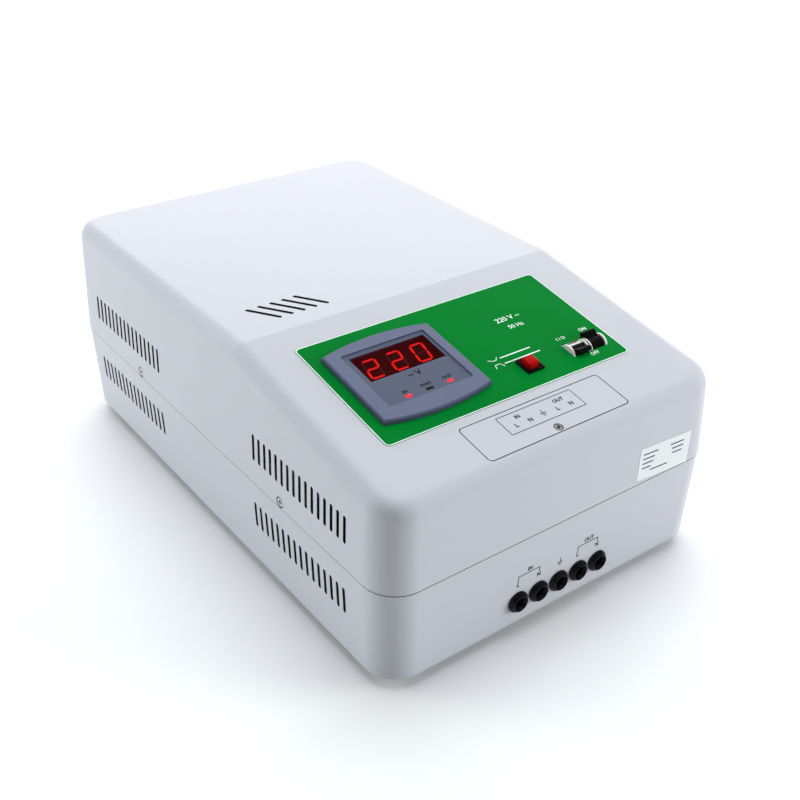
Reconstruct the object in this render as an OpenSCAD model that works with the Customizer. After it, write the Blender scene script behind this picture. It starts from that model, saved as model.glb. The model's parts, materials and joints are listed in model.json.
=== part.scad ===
// Bench voltage stabilizer: a two-piece sheet-steel housing with a sloped control panel,
// round a toroidal autotransformer, a relay board, two breakers and a terminal block.
// Millimetres. +Z up, front towards -Y, origin on the floor under the middle of the housing.

/* [Housing] */
// Width of the housing at the seam
body_w = 320; // [300:5:340]
// Depth of the housing at the seam
body_d = 495; // [480:5:510]
// Height of the base shell, from its underside to the seam
base_h = 80; // [76:1:86]
// Height of the top cover, from the seam to the flat top
cover_h = 104; // [100:1:110]
// Depth of the sloped part of the top, from the bend to the front
panel_depth = 197.5; // [193:0.5:201]
// Slope of the control panel
panel_angle = 10; // [8:0.5:11]
// Radius of the upright corners
corner_r = 27; // [24:1:32]
// Radius round the top edges of the cover
top_edge_r = 13; // [10:1:14]
// Radius round the bottom edges of the base shell
base_edge_r = 5; // [3:0.5:8]
// How far each side of the cover leans in by the top
cover_lean = 2; // [0:0.5:3]
// How far each side of the base shell leans in by its underside
base_lean = 3.5; // [0:0.5:5]
// Thickness of the steel sheet
sheet = 1.2; // [1:0.1:1.6]
// How far the cover overhangs the base shell at the seam
seam_step = 0.5; // [0.4:0.1:1.2]
// Width of the dark line between the two shells
seam_gap = 1; // [0.4:0.1:1.2]
// Height of the base shell's lip inside the cover
lip_h = 13; // [12:1:16]

/* [Vents] */
// Slots in each side group
vent_count = 16; // [10:1:18]
// Distance from slot to slot
vent_pitch = 8; // [7:0.5:9]
// Width of a slot
vent_w = 3.4; // [2:0.2:3.8]
// Height of a slot
vent_h = 22.5; // [16:0.5:26]
// Distance of each group's middle from the front or back of the housing
vent_end = 108.5; // [102:0.5:117]
// Height of the cover's slots above the seam, at their middle
cover_vent_z = 33; // [28:1:36]
// Height of the base shell's slots above its underside, at their middle
base_vent_z = 50; // [44:1:54]
// How far the base shell's groups sit behind the cover's
base_vent_shift = 3; // [0:0.5:4]
// Slanted slots in the top
top_vent_count = 5; // [3:1:7]
// Sideways distance between the slanted slots
top_vent_pitch = 10.7; // [9:0.1:12]
// Length of a slanted slot
top_vent_l = 31; // [20:1:36]
// Slant of the top slots
top_vent_angle = 33; // [0:1:40]
// Distance of the top slots' middle from the left side of the housing
top_vent_side = 70; // [50:1:100]
// Distance of the top slots' middle behind the bend
top_vent_back = 32; // [30:1:50]

/* [Control panel] */
// How far the printed overlay reaches past the bezel on the left
overlay_left = 10.3; // [6:0.1:14]
// How far the overlay reaches past the breakers' opening on the right
overlay_right = 8.7; // [6:0.1:14]
// Upper edge of the overlay, as a share of the way from the bend to the bezel
overlay_top_share = 0.64; // [0.4:0.02:0.8]
// Lower edge of the overlay, as a share of the way from the bezel to the terminal cover
overlay_low_share = 0.58; // [0.3:0.02:0.7]
// Corner radius of the overlay
overlay_r = 4; // [2:0.5:10]
// Thickness of the overlay
overlay_t = 0.4; // [0.2:0.1:0.6]
// Width of the voltmeter bezel
bezel_w = 96.5; // [94:0.5:100]
// Length of the bezel at its sides
bezel_l = 79.5; // [76:0.5:84]
// Bulge of the bezel's arched ends
bezel_arch = 6.5; // [2:0.5:9]
// Height of the bezel above the sheet
bezel_rise = 4.5; // [3:0.5:6]
// Distance of the bezel's middle from the left side, as a share of the housing's width
bezel_side_share = 0.3094; // [0.3:0.0002:0.318]
// Distance of the bezel's middle from the bend, as a share of the sloped part's depth
bezel_g_share = 0.4319; // [0.42:0.0001:0.445]
// Width of the bezel's recess
recess_w = 75; // [72:0.5:78]
// Length of the bezel's recess
recess_l = 63; // [60:0.5:65]
// Depth of the bezel's recess
recess_depth = 1; // [0.8:0.2:2.4]
// Width of the display window
window_w = 67; // [64:0.5:70]
// Length of the display window
window_l = 29; // [26:0.5:32]
// Thickness of the display window
window_t = 2; // [1:0.2:2.4]
// Distance between the indicator lamps
lamp_pitch = 18.7; // [16:0.1:22]
// Width of an indicator lamp
lamp_w = 6; // [4:0.5:8]
// Length of an indicator lamp down the slope
lamp_l = 2.6; // [2:0.2:4]

/* [Push button] */
// Place of the push button, as a share of the way from the bezel to the breakers' bracket
button_x_share = 0.6975; // [0.55:0.0025:0.78]
// Distance of the push button from the bend, as a share of the sloped part's depth
button_g_share = 0.6127; // [0.56:0.0001:0.64]
// Side of the button's square frame
button_frame = 16.5; // [15:0.5:19]
// Side of the button cap
cap_side = 11.6; // [10:0.2:12.4]
// Height of the cap above the sheet when it is out
cap_rise = 6.5; // [5:0.5:8]
// Travel of the cap
cap_travel = 3; // [2:0.5:4]

/* [Breakers] */
// Distance of the pair of breakers from the right side, as a share of the housing's width
breaker_side_share = 0.2359; // [0.23:0.0001:0.25]
// Distance of the lever axis from the bend, as a share of the sloped part's depth
breaker_g_share = 0.6152; // [0.59:0.0001:0.625]
// Width of one breaker module
module_w = 18; // [17.5:0.1:18.2]
// Length of the breaker's nose
nose_l = 45; // [40:1:48]
// Height of the breaker's nose over its shoulders
nose_h = 15; // [12:1:18]
// Length of the breaker over its shoulders
breaker_l = 80; // [74:1:84]
// Depth of the breaker from nose to back
breaker_depth = 60; // [54:1:66]
// Radius of the cheeks beside the lever
cheek_r = 8; // [7:0.2:8.6]
// Depth of the lever axis under the panel's face
pivot_depth = 3.5; // [3:0.1:4]
// Reach of the lever from its axis
lever_reach = 12.6; // [11:0.2:14]
// Lean of the lever either way
lever_lean = 45; // [35:1:50]
// Width of the mounting rail
rail_w = 35; // [30:1:38]

/* [Terminals] */
// Width of the terminal cover
lid_w = 132; // [124:1:140]
// Length of the terminal cover down the slope
lid_l = 36; // [32:1:38]
// Distance of the terminal cover's middle from the bend, as a share of the sloped part's depth
lid_g_share = 0.8658; // [0.856:0.0002:0.87]
// Corner radius of the terminal cover
lid_r = 3; // [2:0.5:8]
// Terminals in the block
way_count = 5; // [3:1:5]
// Distance from terminal to terminal
way_pitch = 19; // [16:0.5:20]
// Height of the terminal block's seat above the underside of the housing
block_z = 102; // [90:1:108]

/* [Cable entries] */
// Cable grommets
grommet_count = 5; // [3:1:5]
// Distance from grommet to grommet
grommet_pitch = 20; // [19:0.5:24]
// Height of the grommets above the underside of the housing
grommet_z = 23.5; // [20:0.5:28]
// Radius of a grommet's flange
grommet_r = 8.8; // [8:0.1:9.2]
// Radius of a grommet's mouth
grommet_mouth_r = 6; // [5.5:0.1:6.5]
// How far a grommet stands out of the wall
grommet_out = 4.5; // [3:0.5:6]
// Radius of the bore that a cable passes through
cable_r = 4.2; // [3.5:0.1:4.6]

/* [Transformer] */
// Outer radius of the winding, as a share of the housing's depth
coil_share = 0.226; // [0.21:0.002:0.234]
// Radius of the hole through the winding, as a share of its outer radius
coil_hole_share = 0.3754; // [0.34:0.0002:0.44]
// Height of the winding
coil_h = 92; // [80:1:98]
// Thickness of the winding round the core
coil_t = 14; // [10:1:16]
// Tapped sections of the winding
coil_sections = 6; // [4:1:8]
// Distance of the winding from the back of the housing
coil_back = 27.5; // [20:0.5:32]

/* [Feet and screws] */
// Height of the rubber feet
foot_h = 8; // [6:0.5:12]
// Radius of a foot where it meets the housing
foot_r = 11; // [9:0.5:14]
// Distance of the feet from the sides, front and back of the housing
foot_inset = 42; // [38:1:50]
// Distance of the seam screws from the front or back of the housing
seam_screw_end = 132; // [127:0.5:138]
// Height of the seam screws above the seam
seam_screw_z = 5.6; // [5.4:0.1:6.5]
// Radius of the seam screws' heads
screw_head_r = 3.7; // [3:0.1:4]
// Radius of the M4 screws
m4_r = 2; // [1.9:0.05:2.1]
// Radius of the M3 screws
m3_r = 1.5; // [1.4:0.05:1.6]

/* [Hidden] */

// Overrun of every cut past the face it opens
over = 1;
// Clearance of pieces that are fixed side by side
slack = 0.3;
// Radial clearance of a screw in its hole
hole_slack = 0.2;
// Radial clearance of a hinge pin in its bore
pin_slack = 0.06;
// Gap of a piece that sits on another
seat_gap = 0.05;
// Thickness of the circuit boards
board_t = 1.6;
// Length of a screw past its nut
thread_out = 1;
// Thickness of the outline slabs that the shells are drawn between
skin = 0.01;

half_w = body_w / 2;
half_d = body_d / 2;
bend_ahead = half_d - panel_depth;
vent_group_y = half_d - vent_end;
seam_screw_y = half_d - seam_screw_end;
bezel_x = bezel_side_share * body_w - half_w;
bezel_g = bezel_g_share * panel_depth;
button_g = button_g_share * panel_depth;
breaker_x = half_w - breaker_side_share * body_w;
breaker_g = breaker_g_share * panel_depth;
lid_g = lid_g_share * panel_depth;
coil_r = coil_share * body_d;
coil_hole_r = coil_hole_share * coil_r;
coil_y = half_d - coil_back - coil_r;
floor_z = foot_h;
floor_top_z = floor_z + sheet;
seam_z = floor_z + base_h;
deck_z = seam_z + cover_h;

// Height above the seam at which the slope would meet the front, and the lean there
front_rise = cover_h - panel_depth * tan(panel_angle);
front_lean = cover_lean * front_rise / cover_h;
// Distance down the slope to the middle of the front edge's round
front_round_g = (panel_depth - front_lean - top_edge_r * (1 - sin(panel_angle))) / cos(panel_angle);

// The two signs that mirror a piece to either side
function sides() = [-1, 1];

// A plate outline with round corners
module round_plate(w, l, r) {
  square([w - 2 * r, l], center = true);
  square([w, l - 2 * r], center = true);
  for (x = sides(), y = sides()) translate([x * (w / 2 - r), y * (l / 2 - r)]) circle(r, $fn = 32);
}

// A slot with round ends along Y
module slot_outline(w, l) {
  square([w, l - w], center = true);
  for (y = sides()) translate([0, y * (l - w) / 2]) circle(w / 2, $fn = 24);
}

// Places its children on the control panel, with z along its normal
module on_panel(x, g, z = 0) {
  translate([0, -bend_ahead, deck_z])
    rotate([panel_angle, 0, 0])
      translate([x, -g, z]) children();
}

// A disc whose upper edge is rounded, with its top at z = 0
module corner_disc(r, edge) {
  rotate_extrude($fn = 48) {
    if (r > edge) translate([0, -edge]) square([r - edge, edge]);
    intersection() {
      translate([r - edge, -edge]) circle(edge, $fn = 32);
      translate([0, -edge]) square([r, edge]);
    }
  }
}

// The solid inside the cover's outer face, drawn in by inset on every side
module cover_form(inset) {
  r = corner_r - inset;
  edge = top_edge_r - inset;
  bend_y = top_edge_r * tan(panel_angle / 2) - bend_ahead;
  side_x = half_w - cover_lean - corner_r;
  hull() {
    translate([0, 0, seam_z + seam_gap - (inset > 0 ? over : 0)])
      linear_extrude(skin) round_plate(body_w - 2 * inset, body_d - 2 * inset, r);
    for (x = sides()) {
      translate([x * side_x, half_d - cover_lean - corner_r, deck_z - inset])
        corner_disc(r, edge);
      translate([x * (half_w - cover_lean - top_edge_r), bend_y, deck_z - inset])
        corner_disc(edge, edge);
      on_panel(x * (half_w - front_lean - corner_r), front_round_g + top_edge_r - corner_r, -inset)
        corner_disc(r, edge);
    }
  }
}

// The solid inside the base shell's outer face, drawn in by inset on every side
module base_form(inset) {
  r = corner_r - inset;
  edge = max(base_edge_r - inset, skin);
  hull() {
    translate([0, 0, seam_z + (inset > 0 ? over : 0)])
      linear_extrude(skin)
        round_plate(body_w - 2 * (seam_step + inset), body_d - 2 * (seam_step + inset), r - seam_step);
    for (x = sides(), y = sides())
      translate([x * (half_w - base_lean - corner_r), y * (half_d - base_lean - corner_r), floor_z + inset])
        mirror([0, 0, 1]) corner_disc(r, edge);
  }
}

// Two groups of upright slots through each side wall
module side_vents(z, shift = 0) {
  reach = 2 * (sheet + cover_lean + base_lean + over);
  for (side = sides(), group = sides())
    translate([side * (half_w - reach / 4), group * vent_group_y + shift, z])
      rotate([90, 0, 90])
        linear_extrude(reach, center = true)
          for (n = [0 : vent_count - 1])
            translate([(n - (vent_count - 1) / 2) * vent_pitch, 0]) slot_outline(vent_w, vent_h);
}

// Places its children at the four seam screws, with z pointing into the housing
module at_seam_screws() {
  for (side = sides(), y = sides())
    translate([side * half_w, y * seam_screw_y, seam_z + seam_screw_z])
      rotate([0, -side * 90, 0]) children();
}

// Lip of the base shell: how far in its outer face lies, and its depth below the seam
lip_inset = sheet + slack + cover_lean * lip_h / cover_h;
lip_root = 8;
weld_nut_h = 3;
weld_nut_r = 3.9;

module seam_lip() {
  translate([0, 0, seam_z - lip_root])
    linear_extrude(lip_root + lip_h)
      difference() {
        round_plate(body_w - 2 * lip_inset, body_d - 2 * lip_inset, corner_r - lip_inset);
        round_plate(body_w - 2 * (lip_inset + sheet), body_d - 2 * (lip_inset + sheet),
          corner_r - lip_inset - sheet);
      }
}

// Places its children at the four feet
module at_feet() {
  for (x = sides(), y = sides())
    translate([x * (half_w - foot_inset), y * (half_d - foot_inset), 0]) children();
}

// Front wall: its slope, how far it has leaned in at the grommets, and the grommet's hole
wall_slope = (base_lean - seam_step) / (base_h - base_edge_r);
wall_lean = seam_step + wall_slope * (base_h - grommet_z);
wall_y = -half_d + wall_lean;
grommet_rest = grommet_r * wall_slope + seat_gap;
grommet_neck_r = 6.6;

// Places its children at grommet n, with z pointing out of the front
module at_grommet(n) {
  translate([(n - (grommet_count - 1) / 2) * grommet_pitch, wall_y, floor_z + grommet_z])
    rotate([90, 0, 0]) children();
}

module base_shell() {
  color("gainsboro") difference() {
    union() {
      difference() {
        base_form(0);
        base_form(sheet);
      }
      seam_lip();
      at_seam_screws()
        translate([0, 0, lip_inset + sheet]) cylinder(h = weld_nut_h, r = weld_nut_r, $fn = 6);
    }
    side_vents(floor_z + base_vent_z, base_vent_shift);
    at_seam_screws() cylinder(h = lip_inset + sheet + weld_nut_h + over, r = m4_r + hole_slack, $fn = 24);
    at_feet() cylinder(h = floor_top_z + over, r = m4_r + hole_slack, $fn = 24);
    for (n = [0 : grommet_count - 1])
      at_grommet(n) cylinder(h = 2 * (sheet + over), r = grommet_neck_r + slack, center = true, $fn = 48);
    translate([0, coil_y, 0]) cylinder(h = floor_top_z + over, r = bolt_r + hole_slack, $fn = 32);
    at_board_corners() cylinder(h = floor_top_z + over, r = m3_r + hole_slack, $fn = 24);
    at_bracket_feet() cylinder(h = floor_top_z + over, r = m4_r + hole_slack, $fn = 24);
  }
}

// Shelf under the terminal cover, which lies flush with the panel
lid_gap = 0.5;
shelf_rim = 2;
lid_t = sheet - lid_gap / 2;
shelf_w = lid_w + 2 * (lid_gap + shelf_rim);
shelf_l = lid_l + 2 * (lid_gap + shelf_rim);
lid_land = 5.5;
lid_screw_g = lid_g + lid_l / 2 - lid_land / 2 - shelf_rim;
lid_screw_land = 9;
dimple_out = 1.2;
dimple_r = screw_head_r + dimple_out;

// Display: the collar under the bezel lies round its recess
recess_right = 1.5;
recess_up = 2.3;
collar_t = 2;
collar_w = recess_w + 2 * collar_t;
collar_l = recess_l + 2 * collar_t;
collar_depth = 11;
switch_side = 13;
window_cut_w = 2 * module_w + 2 * slack;
window_cut_l = 2 * sqrt(pow(cheek_r + slack, 2) - pow(pivot_depth - sheet, 2));

// Rail behind the breakers, the bracket that carries it, and the button beside that
rail_out = 7;
rail_l = 2 * (module_w + rail_out);
leg_out = slack + sheet;
bracket_flange = 12;
bracket_reach = rail_l / 2 + leg_out + bracket_flange + sheet / 2;
bezel_end = bezel_x + bezel_w / 2;
button_x = bezel_end + button_x_share * (breaker_x - bracket_reach - bezel_end);

// Printed overlay round the bezel and the breakers, from its left and upper edges
bezel_reach = bezel_l / 2 + bezel_arch;
bezel_low = bezel_g + bezel_reach;
overlay_x0 = bezel_x - bezel_w / 2 - overlay_left;
overlay_w = breaker_x + window_cut_w / 2 + overlay_right - overlay_x0;
overlay_g0 = overlay_top_share * (bezel_g - bezel_reach);
overlay_l = bezel_low + overlay_low_share * (lid_g - lid_l / 2 - bezel_low) - overlay_g0;

module panel_cutouts(h) {
  on_panel(bezel_x + recess_right, bezel_g - recess_up)
    linear_extrude(h, center = true)
      round_plate(collar_w + 2 * slack, collar_l + 2 * slack, collar_t + slack);
  on_panel(button_x, button_g) cube([switch_side + 2 * slack, switch_side + 2 * slack, h], center = true);
  on_panel(breaker_x, breaker_g) cube([window_cut_w, window_cut_l, h], center = true);
}

module top_cover() {
  color("gainsboro") difference() {
    union() {
      difference() {
        cover_form(0);
        cover_form(sheet);
      }
      on_panel(0, lid_g, -2 * sheet)
        linear_extrude(sheet + slack) round_plate(shelf_w, shelf_l, lid_r + shelf_rim);
    }
    side_vents(seam_z + cover_vent_z);
    for (n = [0 : top_vent_count - 1])
      translate([top_vent_side - half_w + (n - (top_vent_count - 1) / 2) * top_vent_pitch,
        top_vent_back - bend_ahead, deck_z])
        rotate([0, 0, top_vent_angle])
          linear_extrude(2 * (sheet + over), center = true) slot_outline(vent_w, top_vent_l);
    panel_cutouts(2 * (sheet + over));
    on_panel(0, lid_g, -sheet)
      linear_extrude(sheet + over) round_plate(lid_w + 2 * lid_gap, lid_l + 2 * lid_gap, lid_r + lid_gap);
    difference() {
      on_panel(0, lid_g, -2 * sheet - over)
        linear_extrude(2 * (sheet + over))
          round_plate(lid_w - 2 * lid_land, lid_l - 2 * lid_land, lid_r);
      on_panel(0, lid_screw_g, -2 * sheet - over)
        cylinder(h = 2 * (sheet + over), r = lid_screw_land / 2, $fn = 32);
    }
    on_panel(0, lid_screw_g, -2 * sheet - over)
      cylinder(h = sheet + 2 * over, r = m3_r + hole_slack, $fn = 24);
    at_seam_screws() {
      cylinder(h = lip_inset, r1 = dimple_r, r2 = m4_r + hole_slack, $fn = 32);
      translate([0, 0, -over]) cylinder(h = over + skin, r = dimple_r, $fn = 32);
    }
  }
}

module rubber_feet() {
  foot_pocket_r = foot_r / 2;
  color("dimgray") at_feet() difference() {
    cylinder(h = foot_h, r1 = foot_r - base_edge_r / 3, r2 = foot_r, $fn = 48);
    translate([0, 0, -over]) cylinder(h = foot_pocket + over, r = foot_pocket_r, $fn = 32);
    cylinder(h = foot_h + over, r = m4_r + hole_slack, $fn = 24);
  }
}

// Screws: the foot's pocket, the nuts and the heads follow the screw sizes
foot_pocket = foot_h / 2;
nut_h = 3.2;
nut_r = 4;
head_h = 2.4;
head_share = 1.8;
drive_share = 0.4;

// A pan-head screw that points up from z = 0, with its domed, cross-driven head below
module pan_screw(r, l) {
  head_r = r * head_share;
  dome_r = (pow(head_r, 2) + pow(head_h, 2)) / (2 * head_h);
  difference() {
    rotate_extrude($fn = 32) {
      square([r, l]);
      intersection() {
        translate([0, -head_h]) square([head_r, head_h]);
        translate([0, dome_r - head_h]) circle(dome_r, $fn = 96);
      }
    }
    for (turn = [0, 90]) rotate([0, 0, turn])
      translate([0, 0, -head_h]) cube([head_r, r * drive_share, head_h], center = true);
  }
}

module foot_screws() {
  color("silver") at_feet()
    translate([0, 0, foot_pocket]) pan_screw(m4_r, floor_top_z + nut_h + thread_out - foot_pocket);
}

module foot_nuts() {
  color("silver") at_feet()
    translate([0, 0, floor_top_z]) nut(m4_r, nut_r, nut_h);
}

// A hexagon nut on z = 0 that clears its screw by a hinge pin's clearance
module nut(r, across, h) {
  difference() {
    cylinder(h = h, r = across, $fn = 6);
    translate([0, 0, -over]) cylinder(h = h + 2 * over, r = r + pin_slack, $fn = 32);
  }
}

module seam_screws() {
  seat = (screw_head_r - m4_r) * lip_inset / (dimple_r - m4_r - hole_slack);
  drive_r = screw_head_r / 3;
  color("silver") at_seam_screws() difference() {
    union() {
      translate([0, 0, slack]) cylinder(h = seat, r1 = screw_head_r, r2 = m4_r, $fn = 32);
      translate([0, 0, slack]) cylinder(h = lip_inset + sheet + weld_nut_h, r = m4_r, $fn = 32);
    }
    for (turn = [0, 90]) rotate([0, 0, turn])
      cube([2 * drive_r, drive_r / 2, 2 * (slack + sheet / 2)], center = true);
  }
}

module terminal_cover() {
  tab_w = lid_w / 8;
  tab_l = lid_land + shelf_rim;
  tab_g = lid_g - lid_l / 2 + lid_land + slack;
  color("gainsboro") difference() {
    union() {
      on_panel(0, lid_g, -lid_t) linear_extrude(lid_t) round_plate(lid_w, lid_l, lid_r);
      for (x = sides()) on_panel(x * lid_w / 4, tab_g, 0) {
        translate([0, -sheet / 2, -sheet - slack]) cube([tab_w, sheet, 2 * (sheet + slack)], center = true);
        translate([0, tab_l / 2 - sheet, -5 * sheet / 2 - slack]) cube([tab_w, tab_l, sheet], center = true);
      }
    }
    on_panel(0, lid_screw_g, -lid_t)
      cylinder(h = lid_t + skin, r1 = m3_r + hole_slack, r2 = dimple_r, $fn = 32);
    on_panel(0, lid_screw_g, -sheet - over) cylinder(h = sheet + over, r = m3_r + hole_slack, $fn = 24);
  }
}

module terminal_cover_screw() {
  head_r = screw_head_r - m3_r / 3;
  seat = lid_t * (head_r - m3_r) / (dimple_r - m3_r - hole_slack);
  color("silver") on_panel(0, lid_screw_g, -slack) mirror([0, 0, 1]) difference() {
    union() {
      cylinder(h = seat, r1 = head_r, r2 = m3_r, $fn = 32);
      cylinder(h = 3 * sheet, r = m3_r, $fn = 32);
    }
    for (turn = [0, 90]) rotate([0, 0, turn])
      cube([head_r, head_r / 5, sheet], center = true);
  }
}

module panel_overlay() {
  color("green") difference() {
    on_panel(overlay_x0 + overlay_w / 2, overlay_g0 + overlay_l / 2)
      linear_extrude(overlay_t) round_plate(overlay_w, overlay_l, overlay_r);
    panel_cutouts(2 * (overlay_t + over));
  }
}

// Outline of the bezel, with arched ends, drawn in by inset
module bezel_outline(inset) {
  w = bezel_w - 2 * inset;
  arch_r = (pow(bezel_w / 2, 2) + pow(bezel_arch, 2)) / (2 * bezel_arch);
  intersection() {
    square([w, bezel_l + 2 * bezel_arch], center = true);
    translate([0, bezel_l / 2 + bezel_arch - arch_r]) circle(arch_r - inset, $fn = 240);
    translate([0, arch_r - bezel_l / 2 - bezel_arch]) circle(arch_r - inset, $fn = 240);
  }
}

// Display parts, from the window's place in the recess down to the board
window_right = 1;
window_up = 12.5;
lamp_g = 27;
display_board_z = board_t - collar_depth;
digit_count = 3;
digit_h = 21.5;
digit_w = 12.8;
digit_pitch = 21.6;
digit_bar = 2;
digit_slant = 9;
digit_depth = 0.6;
clip_w = 8;
clip_l = 20;
bezel_bevel = 1.4;
boss_r = 2.8;
lamp_rise = 0.2;

// Places its children at a point of the display, measured from the middle of the recess
module on_display(x, g, z) {
  on_panel(bezel_x + recess_right + x, bezel_g - recess_up + g, z) children();
}

module at_lamps(z) {
  for (n = [-1 : 1]) on_display(window_right + n * lamp_pitch, lamp_g, z) children();
}

module at_display_bosses(z) {
  for (x = sides(), y = sides())
    on_display(x * (recess_w / 2 - boss_r), y * (recess_l / 2 - boss_r), z) children();
}

module display_bezel() {
  rim = bezel_rise - bezel_bevel;
  color("slategray") difference() {
    union() {
      on_panel(bezel_x, bezel_g) hull() {
        translate([0, 0, overlay_t]) linear_extrude(rim - overlay_t) bezel_outline(0);
        translate([0, 0, overlay_t]) linear_extrude(bezel_rise - overlay_t) bezel_outline(bezel_bevel);
      }
      on_display(0, 0, -collar_depth)
        linear_extrude(collar_depth + rim) round_plate(collar_w, collar_l, collar_t);
    }
    on_display(0, 0, bezel_rise - recess_depth)
      linear_extrude(recess_depth + over) round_plate(recess_w, recess_l, collar_t);
    difference() {
      on_display(0, 0, -collar_depth - over)
        linear_extrude(collar_depth + over + overlay_t) round_plate(recess_w, recess_l, collar_t);
      at_display_bosses(display_board_z + seat_gap) cylinder(h = collar_depth + over, r = boss_r, $fn = 32);
    }
    on_display(window_right, -window_up, 0)
      cube([window_w + slack, window_l + slack, 2 * (bezel_rise + over)], center = true);
    at_lamps(0) cube([lamp_w + slack, lamp_l + slack, 2 * (bezel_rise + over)], center = true);
    at_display_bosses(display_board_z - over)
      cylinder(h = over - display_board_z, r = m3_r + pin_slack, $fn = 24);
  }
}

module display_window() {
  color("darkred") on_display(window_right, -window_up, bezel_rise - recess_depth - window_t / 2 - slack)
    cube([window_w, window_l, window_t], center = true);
}

// A point of a digit, leant over to the right by the digit's slant
function slanted(p) = [p[0] + p[1] * tan(digit_slant), p[1]];

// Outline of one bar of a seven-segment digit, with pointed ends
module digit_bar_outline(x, y, l, upright) {
  half = l / 2;
  t = digit_bar / 2;
  points = [[-half, 0], [t - half, t], [half - t, t], [half, 0], [half - t, -t], [t - half, -t]];
  polygon([for (p = points) slanted(upright ? [x - p[1], y + p[0]] : [x + p[0], y + p[1]])]);
}

module digit_outline() {
  bar_gap = digit_bar / 6;
  rise = (digit_h - digit_bar) / 2;
  run = digit_w - digit_bar;
  for (y = [-1 : 1]) digit_bar_outline(0, y * rise, run - bar_gap, false);
  for (x = sides(), y = sides()) digit_bar_outline(x * run / 2, y * rise / 2, rise - bar_gap, true);
}

module display_module() {
  top_z = bezel_rise - recess_depth - window_t - 2 * slack;
  low_z = display_board_z + seat_gap;
  color("dimgray") difference() {
    on_display(window_right, -window_up, low_z)
      linear_extrude(top_z - low_z)
        square([window_w - 2 * collar_t, window_l - collar_t], center = true);
    for (n = [0 : digit_count - 1])
      on_display(window_right + (n - (digit_count - 1) / 2) * digit_pitch, -window_up, top_z - digit_depth)
        linear_extrude(over) digit_outline();
  }
}

module display_board() {
  color("darkgreen") difference() {
    on_display(0, 0, display_board_z - board_t)
      linear_extrude(board_t) round_plate(recess_w - slack, recess_l - slack, collar_t);
    at_display_bosses(display_board_z - board_t - over)
      cylinder(h = board_t + 2 * over, r = m3_r + hole_slack, $fn = 24);
  }
}

// Spring clips that hold the collar against the underside of the panel
module display_clips() {
  clip_t = 0.8;
  clip_h = collar_depth - sheet - seat_gap;
  color("silver") for (x = sides()) on_display(x * (collar_w / 2 + seat_gap), 0, -sheet - seat_gap) {
    translate([x * clip_t / 2, 0, -clip_h / 2]) cube([clip_t, clip_l, clip_h], center = true);
    translate([x * clip_w / 2, 0, -clip_t / 2]) cube([clip_w, clip_l, clip_t], center = true);
  }
}

module display_board_screws() {
  color("silver") at_display_bosses(display_board_z - board_t - seat_gap) pan_screw(m3_r, collar_depth / 2);
}

module status_lamps() {
  color("red") at_lamps(display_board_z + seat_gap)
    linear_extrude(lamp_rise + bezel_rise - recess_depth - display_board_z)
      square([lamp_w, lamp_l], center = true);
}

// Push button: the switch's well is deeper than the cap by its travel
button_rim = 1.6;
frame_r = 1;
cap_depth = 6;
switch_depth = 22;
blade_l = 7;
blade_w = 4.8;
blade_t = 0.8;

module button_switch() {
  color("black") difference() {
    union() {
      on_panel(button_x, button_g, overlay_t)
        linear_extrude(button_rim) round_plate(button_frame, button_frame, frame_r);
      on_panel(button_x, button_g, -switch_depth)
        linear_extrude(switch_depth + button_rim) square(switch_side, center = true);
      for (x = sides())
        on_panel(button_x + x * switch_side / 4, button_g, -switch_depth - blade_l / 2)
          cube([blade_t, blade_w, blade_l + over], center = true);
    }
    on_panel(button_x, button_g, -cap_depth - cap_travel - slack)
      linear_extrude(cap_depth + cap_travel + button_rim + over + slack)
        square(cap_side + slack, center = true);
  }
}

module button_cap() {
  crown = 1.2;
  color("red") on_panel(button_x, button_g) hull() {
    translate([0, 0, -cap_depth])
      linear_extrude(cap_depth + cap_rise - crown) square(cap_side, center = true);
    translate([0, 0, -cap_depth])
      linear_extrude(cap_depth + cap_rise) square(cap_side - 2 * crown, center = true);
  }
}

// Breakers: side play of the lever, its pins and the slot it turns in
cheek_t = 1.9;
breaker_w = module_w - slack / 2;
lever_w = breaker_w - 2 * cheek_t - 2 * slack;
lever_pin_r = 1.5;
lever_pin_l = 1.2;
drum_r = 6.8;
handle_root_r = 3.4;
handle_tip_r = 2;
handle_in = 0.4;
rail_h = 7.5;
rail_lip = 5;
rail_t = 1;
groove_depth = 5;
terminal_r = 3;
breaker_top = pivot_depth - sheet - slack;

// Places its children on a breaker's lever axis; side is -1 for bypass and 1 for mains
module at_breaker(side) {
  on_panel(breaker_x + side * module_w / 2, breaker_g, -pivot_depth) children();
}

// Side view of a breaker, with its nose up and the rail's groove in its back
module breaker_profile() {
  back = breaker_top - breaker_depth;
  shoulder = breaker_top - nose_h;
  polygon([
    [-nose_l / 2, breaker_top], [nose_l / 2, breaker_top],
    [nose_l / 2, shoulder], [breaker_l / 2, shoulder],
    [breaker_l / 2, back + groove_depth], [rail_w / 2 + rail_lip, back],
    [rail_w / 2 + slack, back], [rail_w / 2 + slack, back + groove_depth],
    [-rail_w / 2 - slack, back + groove_depth], [-rail_w / 2 - slack, back],
    [-rail_w / 2 - rail_lip, back], [-breaker_l / 2, back + groove_depth],
    [-breaker_l / 2, shoulder], [-nose_l / 2, shoulder]
  ]);
}

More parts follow.
